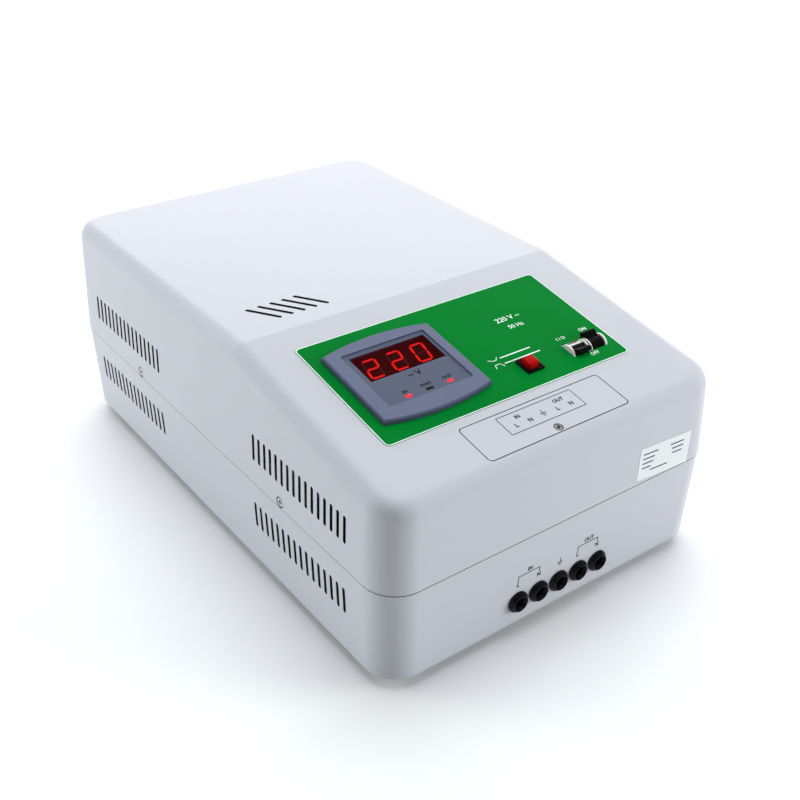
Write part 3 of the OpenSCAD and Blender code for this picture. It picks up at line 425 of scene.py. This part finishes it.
SHELL_GREY = (0.514, 0.522, 0.566, 1)
FINISHES = {
    "shell_paint": powder_coat("shell_paint", SHELL_GREY),
    "foot_rubber": rubber("foot_rubber", (0.022, 0.022, 0.023, 1)),
    "screw_zinc": plated("screw_zinc", (0.56, 0.56, 0.53, 1), 0.22),
    "plate_zinc": plated("plate_zinc", (0.60, 0.62, 0.64, 1), 0.38),
    "overlay_print": printed_film("overlay_print", (0.000, 0.186, 0.023, 1)),
    "bezel_plastic": bezel_moulding("bezel_plastic", (0.100, 0.120, 0.195, 1)),
    "window_red": red_filter("window_red"),
    "module_black": moulded("module_black", (0.012, 0.004, 0.005, 1), 0.6, shine=0.05),
    "board_laminate": circuit_board("board_laminate", (0.010, 0.115, 0.035, 1)),
    "lamp_red": lit("lamp_red", (1.0, 0.014, 0.040, 1), 0.9),
    "switch_black": moulded("switch_black", (0.003, 0.002, 0.003, 1), 0.42, 700.0, 0.000005,
                            shine=0.03),
    "cap_red": moulded("cap_red", (0.36, 0.004, 0.003, 1), 0.36, 500.0, 0.000004, shine=0.03),
    "breaker_white": paired_white("breaker_white", (0.76, 0.75, 0.70, 1)),
    "core_steel": plated("core_steel", (0.28, 0.29, 0.32, 1), 0.42, (1.0, 1.0, 30.0)),
    "winding_copper": wound_copper("winding_copper", (0.48, 0.15, 0.05, 1), 150),
    "pad_rubber": rubber("pad_rubber", (0.04, 0.04, 0.04, 1), 0.75),
    "standoff_brass": plated("standoff_brass", (0.72, 0.50, 0.20, 1), 0.25),
    "relay_blue": moulded("relay_blue", (0.012, 0.060, 0.235, 1), 0.30, 500.0, 0.000005),
    "capacitor_sleeve": moulded("capacitor_sleeve", (0.010, 0.014, 0.050, 1), 0.28, 400.0,
                                0.000005),
    "plug_cream": moulded("plug_cream", (0.70, 0.66, 0.50, 1), 0.48),
    "block_black": moulded("block_black", (0.018, 0.018, 0.018, 1), 0.50),
    "terminal_brass": plated("terminal_brass", (0.75, 0.56, 0.26, 1), 0.28),
    "grommet_black": rubber("grommet_black", (0.005, 0.005, 0.006, 1), 0.34, shine=0.18),
}
LAMP_DARK = moulded("lamp_dark", (0.008, 0.002, 0.003, 1), 0.4, shine=0.06)
DIGIT_LIT = lit("digit_lit", (1.0, 0.016, 0.012, 1), 2.3)
DIGIT_DARK = moulded("digit_dark", (0.060, 0.006, 0.006, 1), 0.4)
INK_BLACK = ink("ink_black", (0.008, 0.008, 0.011, 1))
INK_PALE = ink("ink_pale", (0.70, 0.84, 0.76, 1))
# Painted shade: a near-black sheet for the bottom of the screw slots.
SLOT_SHADE_BLACK = rubber("slot_shade_black", (0.004, 0.004, 0.004, 1), 0.8, shine=0.05)
PAPER = sticker_paper("sticker_paper", (0.74, 0.75, 0.76, 1))


# The CAD nodes keep their meshes: modifiers round their edges and smooth their curves

def smoothing_group():
    """Geometry nodes that shade smooth across every edge flatter than the given angle."""
    group = bpy.data.node_groups.new("smooth_flat_edges", "GeometryNodeTree")
    group.is_modifier = True
    group.interface.new_socket("Geometry", in_out="INPUT", socket_type="NodeSocketGeometry")
    group.interface.new_socket("Geometry", in_out="OUTPUT", socket_type="NodeSocketGeometry")
    start = group.nodes.new("NodeGroupInput")
    end = group.nodes.new("NodeGroupOutput")
    faces = group.nodes.new("GeometryNodeSetShadeSmooth")
    edges = group.nodes.new("GeometryNodeSetShadeSmooth")
    edges.domain = "EDGE"
    angle = group.nodes.new("GeometryNodeInputMeshEdgeAngle")
    flat = group.nodes.new("FunctionNodeCompare")
    flat.operation = "LESS_THAN"
    flat.inputs["B"].default_value = FLAT_EDGE
    group.links.new(start.outputs[0], faces.inputs["Geometry"])
    group.links.new(faces.outputs[0], edges.inputs["Geometry"])
    group.links.new(angle.outputs["Unsigned Angle"], flat.inputs["A"])
    group.links.new(flat.outputs[0], edges.inputs["Shade Smooth"])
    group.links.new(edges.outputs[0], end.inputs[0])
    return group


SMOOTHING = smoothing_group()
EDGE_ROUNDS = {
    "display_bezel": 0.35, "mains_breaker": 0.35, "bypass_breaker": 0.35, "mains_lever": 0.3,
    "bypass_lever": 0.3, "button_switch": 0.3, "relays": 0.4, "terminal_block": 0.3,
    "board_plugs": 0.2, "terminal_cover": 0.12, "display_window": 0.2, "breaker_bracket": 0.3,
    "terminal_bracket": 0.3,
}


def dress_node(name, node, finish):
    """Gives a CAD node its finish, smooth curves and, if it is listed, rounded edges."""
    node.data.materials.clear()
    node.data.materials.append(finish)
    weld = node.modifiers.new("weld", "WELD")
    weld.merge_threshold = 0.000002
    if name in EDGE_ROUNDS:
        flatten = node.modifiers.new("flatten", "DECIMATE")
        flatten.decimate_type = "DISSOLVE"
        flatten.angle_limit = math.radians(0.4)
        rounds = node.modifiers.new("rounds", "BEVEL")
        rounds.width = EDGE_ROUNDS[name] / 1000
        rounds.segments = 2
        rounds.limit_method = "ANGLE"
        rounds.angle_limit = math.radians(35)
        rounds.use_clamp_overlap = True
    smooth = node.modifiers.new("smooth", "NODES")
    smooth.node_group = SMOOTHING
    even = node.modifiers.new("even", "WEIGHTED_NORMAL")
    even.keep_sharp = True


SLOTS = {row["node"]: row["material_slot"] for row in frame["record"]["subparts"]}
LEVER_BLACK, LEVER_PALE = (0.003, 0.003, 0.003, 1), (0.62, 0.60, 0.54, 1)
LEVERS = {"mains_lever": lever_plastic("mains_lever_black", LEVER_BLACK, LEVER_PALE, 45),
          "bypass_lever": lever_plastic("bypass_lever_black", LEVER_BLACK, LEVER_PALE, 135)}
for node_name, node_object in frame["nodes"].items():
    dress_node(node_name, node_object, LEVERS.get(node_name) or FINISHES[SLOTS[node_name]])


# New pieces, drawn in millimetres

def piece(name, shape, place, finish, body="housing"):
    """Turns a bmesh in millimetres into a piece that rides on its body."""
    bmesh.ops.remove_doubles(shape, verts=shape.verts, dist=0.0005)
    bmesh.ops.recalc_face_normals(shape, faces=shape.faces)
    bmesh.ops.transform(shape, matrix=MILLI @ place, verts=shape.verts)
    mesh = bpy.data.meshes.new(name)
    shape.to_mesh(mesh)
    shape.free()
    mesh.materials.append(finish)
    for face in mesh.polygons:
        face.use_smooth = True
    mesh.set_sharp_from_angle(angle=FLAT_EDGE)
    made = bpy.data.objects.new(name, mesh)
    bpy.context.scene.collection.objects.link(made)
    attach(made, body)
    return made


def rounded_face(w, l, r, segments=6):
    """A flat face, w by l, with round corners."""
    shape = bmesh.new()
    verts = bmesh.ops.create_grid(shape, x_segments=1, y_segments=1, size=0.5,
                                  matrix=Matrix.Diagonal((w, l, 1, 1)))["verts"]
    bmesh.ops.bevel(shape, geom=verts, offset=r, segments=segments, profile=0.5,
                    affect="VERTICES", material=-1)
    return shape


def only(kind, geometry):
    """The items of that kind in what an operator gives back."""
    return [item for item in geometry if isinstance(item, kind)]


def round_edges(shape, edges, radius, segments):
    """Rounds the edges to the radius."""
    bmesh.ops.bevel(shape, geom=edges, offset=radius, segments=segments, profile=0.5,
                    affect="EDGES", material=-1)


def rounded_block(w, l, h, corner, corner_segments, rim, rim_segments):
    """A block round the origin whose upright edges are rounded, and then its upper rim."""
    shape = bmesh.new()
    bmesh.ops.create_cube(shape, size=1.0, matrix=Matrix.Diagonal((w, l, h, 1)))
    upright = [e for e in shape.edges if abs(e.verts[0].co.z - e.verts[1].co.z) > h / 2]
    round_edges(shape, upright, corner, corner_segments)
    upper = [e for e in shape.edges if all(v.co.z > h / 2 - 0.001 for v in e.verts)]
    round_edges(shape, upper, rim, rim_segments)
    return shape


def thicken(shape, t):
    """Pulls all the flat faces up by t into closed slabs."""
    pulled = bmesh.ops.extrude_face_region(shape, geom=shape.faces[:], use_keep_orig=True)["geom"]
    bmesh.ops.translate(shape, vec=(0, 0, t), verts=only(bmesh.types.BMVert, pulled))
    return shape


def ring_of(w, l, r, line):
    """A thin frame, w by l outside, line wide."""
    shape = rounded_face(w, l, r)
    inner = shape.faces[:]
    bmesh.ops.inset_region(shape, faces=inner, thickness=line, use_boundary=True,
                           use_even_offset=True)
    bmesh.ops.delete(shape, geom=inner, context="FACES")
    return thicken(shape, INK_T)


def strokes(lines, width):
    """Straight printed lines through points, as one shape."""
    shape = bmesh.new()
    for points in lines:
        for (ax, ay), (bx, by) in zip(points, points[1:]):
            run = math.hypot(bx - ax, by - ay) + width
            turn = Matrix.Rotation(math.atan2(by - ay, bx - ax), 4, "Z")
            middle = Matrix.Translation(((ax + bx) / 2, (ay + by) / 2, INK_T / 2))
            bmesh.ops.create_cube(shape, size=1.0,
                                  matrix=middle @ turn @ Matrix.Diagonal((run, width, INK_T, 1)))
    return shape


def words(text, size, weight=0.06):
    """Printed characters, centred, size high, with their strokes made bolder by weight."""
    curve = bpy.data.curves.new("characters", "FONT")
    curve.body = text
    curve.offset = weight
    curve.size = size / 0.7
    curve.align_x = "CENTER"
    curve.align_y = "CENTER"
    curve.extrude = INK_T / 2
    curve.resolution_u = 3
    carrier = bpy.data.objects.new("characters", curve)
    mesh = bpy.data.meshes.new_from_object(carrier)
    shape = bmesh.new()
    shape.from_mesh(mesh)
    bmesh.ops.translate(shape, vec=(0, 0, INK_T / 2), verts=shape.verts)
    bpy.data.objects.remove(carrier)
    bpy.data.curves.remove(curve)
    bpy.data.meshes.remove(mesh)
    return shape


def join(shapes):
    """One bmesh from several (shape, x, y)."""
    whole = bmesh.new()
    for shape, x, y in shapes:
        bmesh.ops.translate(shape, vec=(x, y, 0), verts=shape.verts)
        mesh = bpy.data.meshes.new("part")
        shape.to_mesh(mesh)
        shape.free()
        whole.from_mesh(mesh)
        bpy.data.meshes.remove(mesh)
    return whole


# Control panel: pale border of the print

piece("overlay_border", ring_of(230.8, 118.8, 3.9, 0.8),
      on_panel(-4.015, 84.5, OVERLAY_T + PRINT_Z), INK_PALE)

# Voltmeter: segments in the grooves of the module, and the lamps

DISPLAY_X = RECESS_X + 1.0
WINDOW_G = RECESS_G - 12.5
LAMP_G = RECESS_G + 27.0
LAMP_PITCH = 18.7
RECESS_FLOOR = BEZEL_RISE - RECESS_DEPTH
MODULE_TOP = RECESS_FLOOR - WINDOW_T - MODULE_GAP
DIGIT_H, DIGIT_W, DIGIT_BAR, DIGIT_PITCH = 21.5, 12.8, 2.0, 21.6
DIGIT_SLANT = math.tan(math.radians(9))
GROOVE_DEPTH = 0.55


def segment(shape, x, y, run, upright):
    """A bar with pointed ends, in the groove that the module has for it."""
    half, thick = run / 2, DIGIT_BAR * 0.49
    outline = [(-half, 0), (thick - half, thick), (half - thick, thick), (half, 0),
               (half - thick, -thick), (thick - half, -thick)]
    points = [(-b, y + a) if upright else (a, y + b) for a, b in outline]
    shape.faces.new([shape.verts.new((x + px + DIGIT_SLANT * py, py, 0)) for px, py in points])


def digit(shapes, number, x):
    """Adds the seven bars of a digit to the glowing or the dark shape."""
    gap = DIGIT_BAR / 6 + 0.3
    rise, run = (DIGIT_H - DIGIT_BAR) / 2, DIGIT_W - DIGIT_BAR
    level, upright = (run - gap, False), (rise - gap, True)
    bars = {"top": (0, rise, *level), "middle": (0, 0, *level), "bottom": (0, -rise, *level),
            "left_up": (-run / 2, rise / 2, *upright), "right_up": (run / 2, rise / 2, *upright),
            "left_low": (-run / 2, -rise / 2, *upright),
            "right_low": (run / 2, -rise / 2, *upright)}
    glowing = {2: ("top", "middle", "bottom", "right_up", "left_low"),
               0: ("top", "bottom", "left_up", "right_up", "left_low", "right_low")}[number]
    for key, (bx, by, length, is_upright) in bars.items():
        segment(shapes[key in glowing], x + bx, by, length, is_upright)


segment_shapes = {True: bmesh.new(), False: bmesh.new()}
for place, number in enumerate((2, 2, 0)):
    digit(segment_shapes, number, (place - 1) * DIGIT_PITCH)
for glowing, name, finish in ((True, "digits_lit", DIGIT_LIT), (False, "digits_dark", DIGIT_DARK)):
    piece(name, thicken(segment_shapes[glowing], 0.5),
          on_panel(DISPLAY_X, WINDOW_G, MODULE_TOP - GROOVE_DEPTH), finish)

LAMP_H, LAMP_OUT = 12.0, 0.2
LAMP_FINISHES = {"lamp_input": FINISHES["lamp_red"], "lamp_wait": LAMP_DARK,
                 "lamp_output": FINISHES["lamp_red"]}
for n, (name, finish) in enumerate(LAMP_FINISHES.items()):
    middle = RECESS_FLOOR + LAMP_OUT - LAMP_H / 2
    lamp = piece(name, rounded_block(6.0, 2.6, LAMP_H, 1.1, 5, 0.45, 3),
                 on_panel(DISPLAY_X + (n - 1) * LAMP_PITCH, LAMP_G, middle), finish)
    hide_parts("status_lamps")

lamp_names = [(words(label, 2.7, 0.2), (n - 1) * LAMP_PITCH, 4.7)
              for n, label in enumerate(("IN", "WAIT", "OUT"))]
piece("display_marks", join([(words("~ V", 5.6, 0.28), 0, LAMP_G - 91.5)] + lamp_names),
      on_panel(DISPLAY_X, LAMP_G, RECESS_FLOOR + PRINT_Z), INK_BLACK)

# Push button

cap = piece("push_cap", rounded_block(10.4, 10.4, 12.5, 1.6, 6, 1.5, 6), on_panel(27.5, 121, 0.25),
            FINISHES["cap_red"], "button_cap")
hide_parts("button_cap")

# Printed marks of the panel

PRINTED_PANEL = on_panel(0, 0, OVERLAY_T + PRINT_Z)
piece("button_marks", join([
    (strokes([[(0, 2.4), (2.6, 0.4), (6.2, 0.2), (8.4, 2.8)]], 0.6), 2.4, -104.6),
    (strokes([[(0, -2.0), (1.6, 1.6), (6.0, 1.6), (8.0, -2.0)]], 0.6), 2.4, -110.6),
    (strokes([[(0, 0), (29, 0)]], 1.1), 13.4, -103.6),
    (strokes([[(0, 0), (34, 0)]], 1.1), 12.8, -110.4),
]), PRINTED_PANEL, INK_PALE)
piece("breaker_marks", join([
    (words("ON", 3.4), 97.0, -105.2), (words("OFF", 3.4), 84.5, -133.0),
    (words("I / O", 3.2), 72.5, -106.5),
]), PRINTED_PANEL, INK_PALE)
piece("rating_marks", join([
    (words("220 V ~", 5.2), 52.0, -66.0), (words("50 Hz", 4.2), 52.0, -76.5),
]), PRINTED_PANEL, INK_PALE)

# Terminal cover: the thin printed frame with the order of the terminals

def earth_sign(stem, *arms):
    """Lines of the earth sign: a stem over bars 1.3 apart, that reach arms to each side."""
    bars = [[(-arm, -1.3 * n), (arm, -1.3 * n)] for n, arm in enumerate(arms)]
    return [[(0, stem), (0, 0)]] + bars


LID_PRINT = on_panel(0, 166, PRINT_Z)
piece("terminal_frame", ring_of(71.2, 19.4, 1.0, 0.6), LID_PRINT, INK_BLACK)
ways = [(words(mark, 3.6, 0.18), n * 13.0, -3.0)
        for n, mark in ((-2, "L"), (-1, "N"), (1, "L"), (2, "N"))]
sides = [(words(label, 3.2, 0.18), x, 4.2) for label, x in (("IN", -19.5), ("OUT", 19.5))]
earth = [(strokes(earth_sign(3.4, 2.6, 1.6, 0.6), 0.6), 0, -1.4)]
piece("terminal_marks", join(ways + sides + earth), LID_PRINT, INK_BLACK)


# Seam and lid screws: crossed slots and threads

SLOT_DEPTH = 1.0


def cross_slot(shape, arm, half):
    """Adds the edges of a cross round the origin, with arms 2 half wide."""
    quarter = [(half, arm), (-half, arm), (-half, half)]
    corners = [shape.verts.new((x * c - y * s, x * s + y * c, 0))
               for c, s in ((1, 0), (0, 1), (-1, 0), (0, -1)) for x, y in quarter]
    return [shape.edges.new(pair) for pair in zip(corners, corners[1:] + corners[:1])]


def cross_head_screw(head_r, seat, core_r, length):
    """Countersunk screw with its face on z = 0, its thread below and a slot in it."""
    shape = bmesh.new()
    profile = [(head_r - 0.2, 0), (head_r, -0.15), (core_r, -seat)]
    pitch = 0.7
    for n in range(int((length - seat - 0.4) / pitch)):
        profile += [(core_r - 0.3, -seat - (n + 0.5) * pitch), (core_r, -seat - (n + 1) * pitch)]
    profile += [(core_r - 0.4, -length), (0, -length)]
    line = [shape.verts.new((r, 0, z)) for r, z in profile]
    edges = [shape.edges.new(pair) for pair in zip(line, line[1:])]
    bmesh.ops.spin(shape, geom=line + edges, cent=(0, 0, 0), axis=(0, 0, 1), angle=2 * math.pi,
                   steps=40, use_merge=True)
    bmesh.ops.remove_doubles(shape, verts=shape.verts, dist=0.0005)
    rim = [e for e in shape.edges if e.is_boundary]
    slot = cross_slot(shape, head_r * 0.5, head_r * 0.15)
    bmesh.ops.triangle_fill(shape, edges=rim + slot, use_beauty=True)
    walls = bmesh.ops.extrude_edge_only(shape, edges=slot)["geom"]
    bmesh.ops.translate(shape, vec=(0, 0, -SLOT_DEPTH), verts=only(bmesh.types.BMVert, walls))
    bmesh.ops.contextual_create(shape, geom=only(bmesh.types.BMEdge, walls))
    return shape


def screw(name, place, head_r, seat, core_r, length, node):
    """A screw in place of the node's, with a near-black sheet deep in its slot as painted shade.
    """
    made = piece(name, cross_head_screw(head_r, seat, core_r, length), place,
                 FINISHES["screw_zinc"])
    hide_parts(node)
    shape = bmesh.new()
    # Painted shade: a near-black sheet deep in the cross slot.
    bmesh.ops.contextual_create(shape, geom=cross_slot(shape, head_r * 0.48, head_r * 0.14))
    piece(name + "_slot", thicken(shape, 0.6),
          place @ Matrix.Translation((0, 0, 0.05 - SLOT_DEPTH)), SLOT_SHADE_BLACK)


for n, (side, end) in enumerate(((-1, -1), (-1, 1), (1, -1), (1, 1))):
    spot = Matrix.Translation((side * SEAM_SCREW[0], end * SEAM_SCREW[1], SEAM_SCREW[2]))
    turn = Matrix.Rotation(math.radians(25 * n + 10), 4, "Z")
    screw("seam_screw_%d" % n, spot @ Matrix.Rotation(math.radians(90 * side), 4, "Y") @ turn,
          3.7, 2.0, 2.0, 6.6, "seam_screws")
screw("lid_screw", on_panel(0, LID_SCREW_G, -0.3) @ Matrix.Rotation(math.radians(30), 4, "Z"),
      3.2, 1.2, 1.5, 3.6, "terminal_cover_screw")

# Front wall: marks over the grommets

front_marks = [(strokes(earth_sign(3.8, 2.4, 1.5, 0.5), 0.7), 0, -3.8)]
for middle, label in ((-31.0, "IN"), (28.0, "OUT")):
    front_marks += [
        (strokes([[(-10.2, -5.2), (-10.2, 0), (10.2, 0), (10.2, -4.2)]], 0.75), middle, 1.8),
        (words("L", 3.4, 0.22), middle - 10.0, -5.8), (words("N", 3.4, 0.22), middle + 10.0, -5.1),
        (words(label, 3.2, 0.2), middle + 0.6, 5.0),
    ]
piece("entry_marks", join(front_marks), on_base_front(0, 45.0, PRINT_Z), INK_BLACK)

# Sticker on the cover's front, with plain bars in place of words

STICKER_T = 0.12
STICKER_PLACE = on_cover_front(101.0, 96.6, 0.02) @ Matrix.Rotation(math.radians(-3.6), 4, "Z")
piece("sticker", thicken(rounded_face(56.0, 28.0, 0.5, 2), STICKER_T), STICKER_PLACE, PAPER)
bars = [(-24.0, -9.0, 8.0), (-24.0, -12.0, 4.0), (-24.0, -13.0, 0.0), (-24.0, -15.0, -4.0),
        (6.0, 20.0, 8.0), (8.0, 20.0, 4.0), (9.0, 19.0, 0.0), (-14.0, 4.0, -7.5)]
piece("sticker_marks", strokes([[(a, y), (b, y)] for a, b, y in bars], 1.0),
      STICKER_PLACE @ Matrix.Translation((0, 0, STICKER_T + PRINT_Z)), INK_BLACK)


# Studio: pale floor, soft lights, and the camera where the photographer stood

def studio_floor():
    """A wide pale disc under the feet."""
    f = Finish("floor")
    grain = f.noise(30.0, 2.0)
    paper = f.mix(grain, (0.93, 0.93, 0.93, 1), (0.95, 0.95, 0.95, 1))
    finish = f.surface(Base_Color=paper, Roughness=0.7)
    shape = bmesh.new()
    bmesh.ops.create_circle(shape, cap_ends=True, segments=96, radius=9.0)
    mesh = bpy.data.meshes.new("floor")
    shape.to_mesh(mesh)
    shape.free()
    mesh.materials.append(finish)
    floor = bpy.data.objects.new("floor", mesh)
    bpy.context.scene.collection.objects.link(floor)


def soft_light(name, place, aim, w, h, power, colour, mirrored=True):
    """A lit card, w by h metres; one that isn't mirrored leaves no highlight."""
    lamp = bpy.data.lights.new(name, "AREA")
    lamp.shape = "RECTANGLE"
    lamp.size, lamp.size_y, lamp.energy, lamp.color = w, h, power, colour
    stand = bpy.data.objects.new(name, lamp)
    stand.location = place
    stand.rotation_euler = (Vector(aim) - Vector(place)).to_track_quat("-Z", "Y").to_euler()
    stand.visible_glossy = mirrored
    bpy.context.scene.collection.objects.link(stand)


def studio_world(strength):
    """A faint even glow from all round."""
    world = bpy.data.worlds.new("studio")
    world.use_nodes = True
    world.node_tree.nodes["Background"].inputs["Color"].default_value = (0.97, 0.98, 1.0, 1)
    world.node_tree.nodes["Background"].inputs["Strength"].default_value = strength
    bpy.context.scene.world = world


def photo_camera():
    """The camera that the housing's edges in the photograph give."""
    right = Vector((0.79864, -0.60151, 0.01887))
    up = Vector((0.27191, 0.38863, 0.88036))
    back = right.cross(up)
    photo_side = 800
    lens = bpy.data.cameras.new("camera")
    lens.sensor_width = 36.0
    lens.lens = 1150.06 / photo_side * lens.sensor_width
    lens.shift_x = -15.93 / photo_side
    lens.shift_y = -61.72 / photo_side
    lens.clip_start = 0.01
    camera = bpy.data.objects.new("camera", lens)
    turn = Matrix((right, up, back)).transposed().to_4x4()
    camera.matrix_world = Matrix.Translation((-0.4958, -0.7098, 0.5946)) @ turn
    bpy.context.scene.collection.objects.link(camera)
    bpy.context.scene.camera = camera


studio_floor()
studio_world(0.12)
soft_light("back_card", (1.35, 1.75, 1.0), (0, 0, 0.1), 3.0, 1.2, 36, (1.0, 0.98, 1.0))
soft_light("left_box", (-2.10, 2.15, 0.60), (-0.1, 0, 0.05), 1.8, 1.6, 80, (0.955, 0.995, 1.0),
           mirrored=False)
soft_light("right_box", (2.28, -2.00, 0.60), (0, -0.1, 0.05), 1.6, 1.6, 86, (0.955, 0.995, 1.0),
           mirrored=False)
soft_light("overhead", (0.2, 0.2, 2.4), (0, 0, 0), 2.2, 2.2, 54, (0.935, 0.975, 1.0))
photo_camera()
bpy.context.scene.view_settings.view_transform = "Standard"
